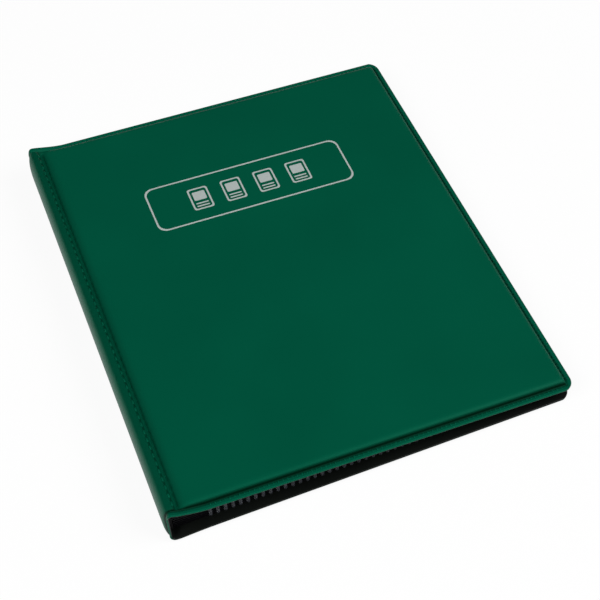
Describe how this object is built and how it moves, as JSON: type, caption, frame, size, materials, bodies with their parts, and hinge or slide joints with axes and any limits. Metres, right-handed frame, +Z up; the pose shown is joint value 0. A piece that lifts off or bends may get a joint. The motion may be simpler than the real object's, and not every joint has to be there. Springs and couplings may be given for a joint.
{
  "type": "card album",
  "caption": "Closed card album with padded heat-sealed vinyl covers, a folding spine and bound leaves of clear four-card pockets on both faces.",
  "frame": {"origin": "centre of the bottom of the closed album, on the outer face of the back cover", "axes": "+X from the spine to the fore-edge, +Y from tail to head, +Z up through the closed album"},
  "size_m": [0.168, 0.2, 0.0195],
  "materials": {
    "green_vinyl": "satin, finely grained heat-sealed PVC sheet",
    "black_vinyl": "satin black PVC sheet inside the covers",
    "grey_board": "matt pressed greyboard",
    "white_foam": "soft closed-cell foam sheet",
    "black_sheet": "matt black polypropylene sheet, knurled welds",
    "clear_film": "clear glossy polypropylene film",
    "black_tape": "woven black binding tape"
  },
  "bodies": {
    "back_cover": {"back_outer_skin": "green_vinyl", "back_foam_pad": "white_foam", "back_board": "grey_board", "back_lining": "black_vinyl"},
    "spine": {"spine_outer_skin": "green_vinyl", "spine_stiffener": "grey_board", "spine_lining": "black_vinyl", "page_binding_strip": "black_tape", "back_hinge_vinyl": "green_vinyl", "front_hinge_vinyl": "green_vinyl"},
    "front_cover": {"front_outer_skin": "green_vinyl", "front_foam_pad": "white_foam", "front_board": "grey_board", "front_lining": "black_vinyl"},
    "page_10": {"leaf_10": "black_sheet", "front_pockets_10": "clear_film", "back_pockets_10": "clear_film"},
    "page_09": {"leaf_09": "black_sheet", "front_pockets_09": "clear_film", "back_pockets_09": "clear_film"},
    "page_08": {"leaf_08": "black_sheet", "front_pockets_08": "clear_film", "back_pockets_08": "clear_film"},
    "page_07": {"leaf_07": "black_sheet", "front_pockets_07": "clear_film", "back_pockets_07": "clear_film"},
    "page_06": {"leaf_06": "black_sheet", "front_pockets_06": "clear_film", "back_pockets_06": "clear_film"},
    "page_05": {"leaf_05": "black_sheet", "front_pockets_05": "clear_film", "back_pockets_05": "clear_film"},
    "page_04": {"leaf_04": "black_sheet", "front_pockets_04": "clear_film", "back_pockets_04": "clear_film"},
    "page_03": {"leaf_03": "black_sheet", "front_pockets_03": "clear_film", "back_pockets_03": "clear_film"},
    "page_02": {"leaf_02": "black_sheet", "front_pockets_02": "clear_film", "back_pockets_02": "clear_film"},
    "page_01": {"leaf_01": "black_sheet", "front_pockets_01": "clear_film", "back_pockets_01": "clear_film"}
  },
  "joints": [
    {"name": "spine_hinge", "type": "hinge", "parent": "back_cover", "child": "spine", "pos_m": [-0.083, 0, 0.001], "axis": [0, -1, 0], "range_deg": [0, 90], "deforming": ["back_hinge_vinyl"]},
    {"name": "front_hinge", "type": "hinge", "parent": "spine", "child": "front_cover", "pos_m": [-0.083, 0, 0.0185], "axis": [0, -1, 0], "range_deg": [0, 92.7], "deforming": ["front_hinge_vinyl"]},
    {"name": "page_10_hinge", "type": "hinge", "parent": "spine", "child": "page_10", "pos_m": [-0.0802, 0, 0.0035], "axis": [0, -1, 0], "range_deg": [-81.01, 0]},
    {"name": "page_09_hinge", "type": "hinge", "parent": "spine", "child": "page_09", "pos_m": [-0.0802, 0, 0.0048], "axis": [0, -1, 0], "range_deg": [-63.01, 0]},
    {"name": "page_08_hinge", "type": "hinge", "parent": "spine", "child": "page_08", "pos_m": [-0.0802, 0, 0.0061], "axis": [0, -1, 0], "range_deg": [-45.01, 0]},
    {"name": "page_07_hinge", "type": "hinge", "parent": "spine", "child": "page_07", "pos_m": [-0.0802, 0, 0.0074], "axis": [0, -1, 0], "range_deg": [-27.01, 0]},
    {"name": "page_06_hinge", "type": "hinge", "parent": "spine", "child": "page_06", "pos_m": [-0.0802, 0, 0.0087], "axis": [0, -1, 0], "range_deg": [-9.01, 0]},
    {"name": "page_05_hinge", "type": "hinge", "parent": "spine", "child": "page_05", "pos_m": [-0.0802, 0, 0.01], "axis": [0, -1, 0], "range_deg": [0, 7.43]},
    {"name": "page_04_hinge", "type": "hinge", "parent": "spine", "child": "page_04", "pos_m": [-0.0802, 0, 0.0113], "axis": [0, -1, 0], "range_deg": [0, 24.11]},
    {"name": "page_03_hinge", "type": "hinge", "parent": "spine", "child": "page_03", "pos_m": [-0.0802, 0, 0.0126], "axis": [0, -1, 0], "range_deg": [0, 40.8]},
    {"name": "page_02_hinge", "type": "hinge", "parent": "spine", "child": "page_02", "pos_m": [-0.0802, 0, 0.0139], "axis": [0, -1, 0], "range_deg": [0, 57.48]},
    {"name": "page_01_hinge", "type": "hinge", "parent": "spine", "child": "page_01", "pos_m": [-0.0802, 0, 0.0152], "axis": [0, -1, 0], "range_deg": [0, 74.17]}
  ],
  "couplings": [
    {"joint": "page_10_hinge", "follows": "spine_hinge", "ratio": -0.9},
    {"joint": "page_09_hinge", "follows": "spine_hinge", "ratio": -0.7},
    {"joint": "page_08_hinge", "follows": "spine_hinge", "ratio": -0.5},
    {"joint": "page_07_hinge", "follows": "spine_hinge", "ratio": -0.3},
    {"joint": "page_06_hinge", "follows": "spine_hinge", "ratio": -0.1},
    {"joint": "page_05_hinge", "follows": "front_hinge", "ratio": 0.08},
    {"joint": "page_04_hinge", "follows": "front_hinge", "ratio": 0.26},
    {"joint": "page_03_hinge", "follows": "front_hinge", "ratio": 0.44},
    {"joint": "page_02_hinge", "follows": "front_hinge", "ratio": 0.62},
    {"joint": "page_01_hinge", "follows": "front_hinge", "ratio": 0.8}
  ]
}
